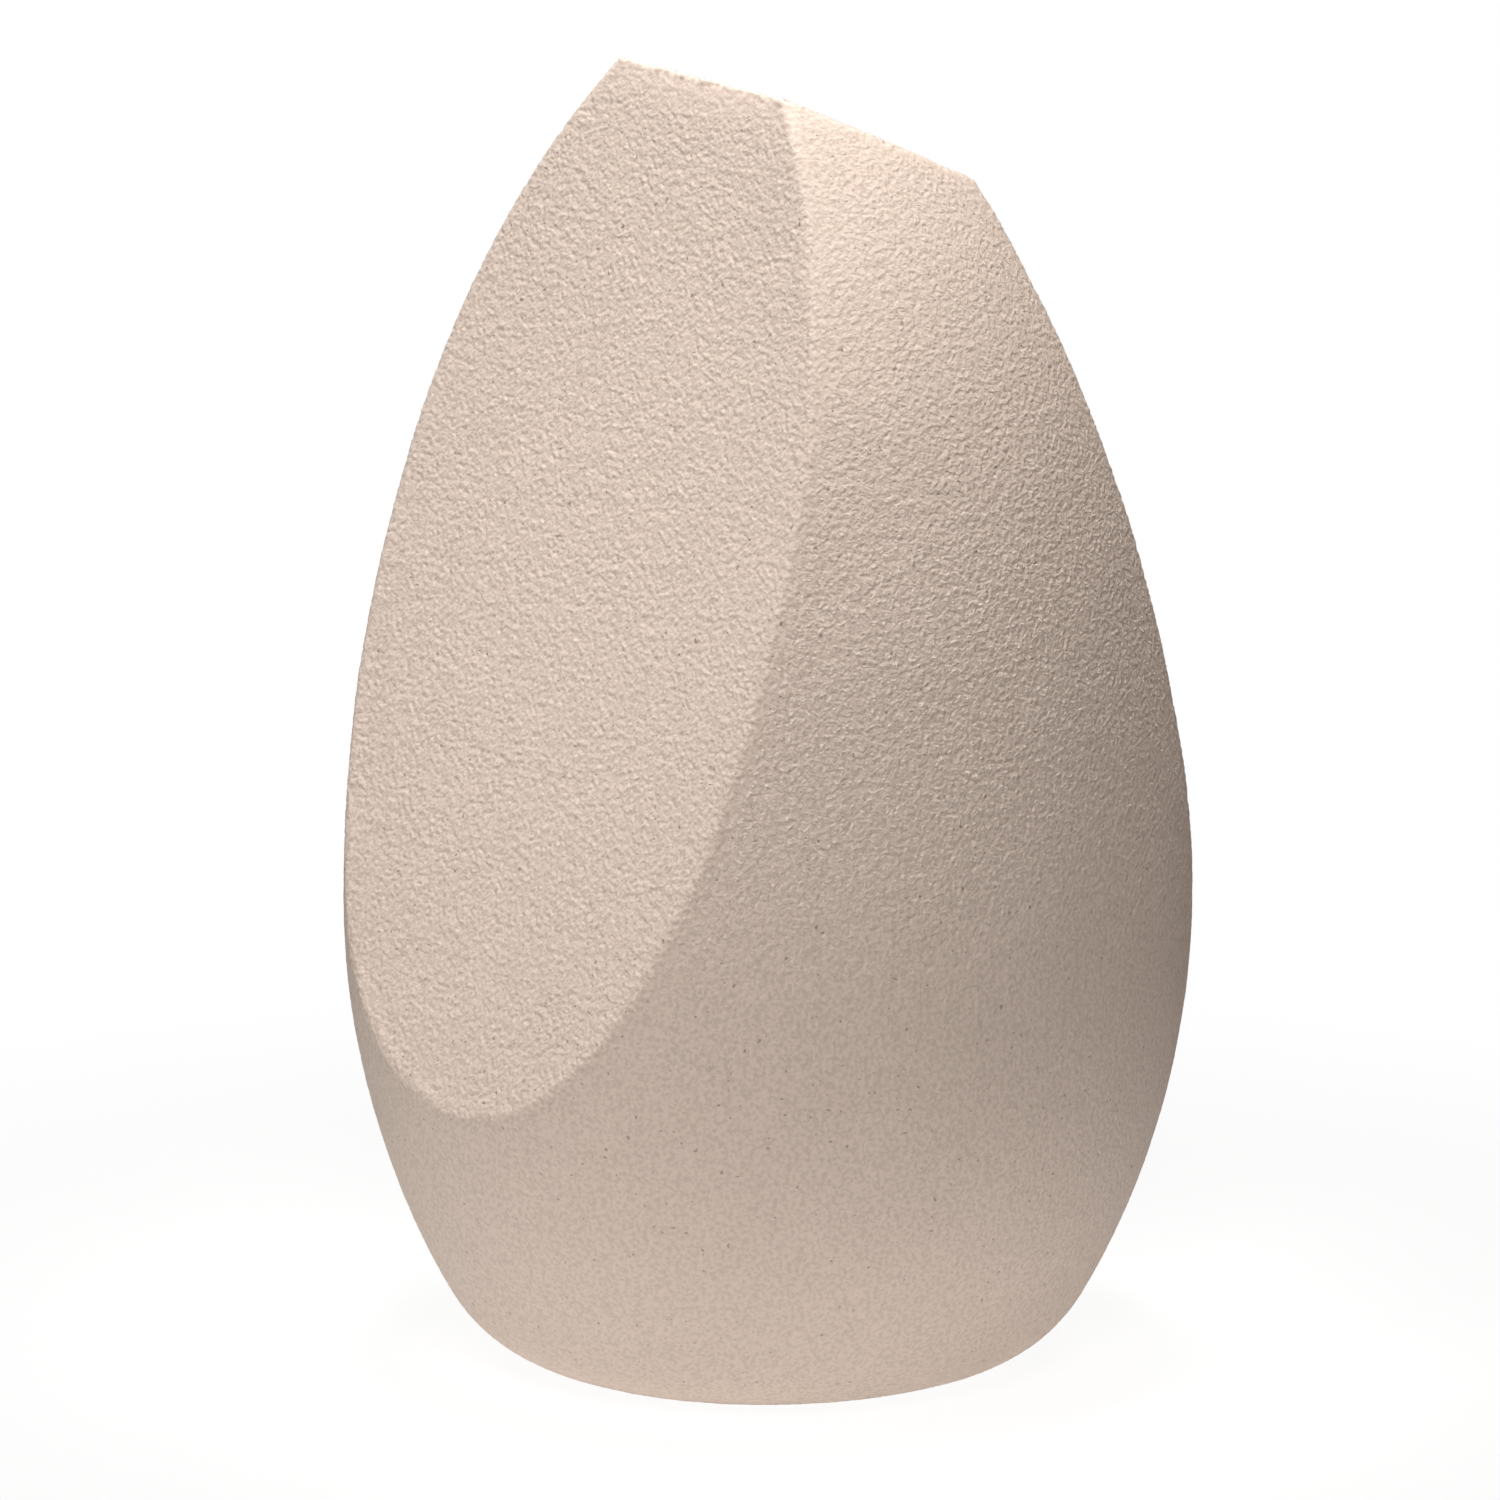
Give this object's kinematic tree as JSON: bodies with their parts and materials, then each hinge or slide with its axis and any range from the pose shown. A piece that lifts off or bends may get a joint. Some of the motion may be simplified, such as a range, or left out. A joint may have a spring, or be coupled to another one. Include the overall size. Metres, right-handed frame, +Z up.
{
  "type": "makeup sponge",
  "caption": "Egg-shaped foam makeup sponge that stands on a flat base, with a broad flat slice front and back and a slanted flat tip.",
  "frame": {"origin": "centre of the flat base that the sponge stands on, on the egg's axis", "axes": "+Z up along the egg's axis to the tip; -Y out of the broad front slice, so the tip slice falls towards +Y; X along the ridge of the tip, across which the sponge is its own mirror image"},
  "size_m": [0.04, 0.0381, 0.0623],
  "materials": {
    "foam": "matte"
  },
  "bodies": {
    "root": {"foam_body": "foam"}
  },
  "joints": []
}
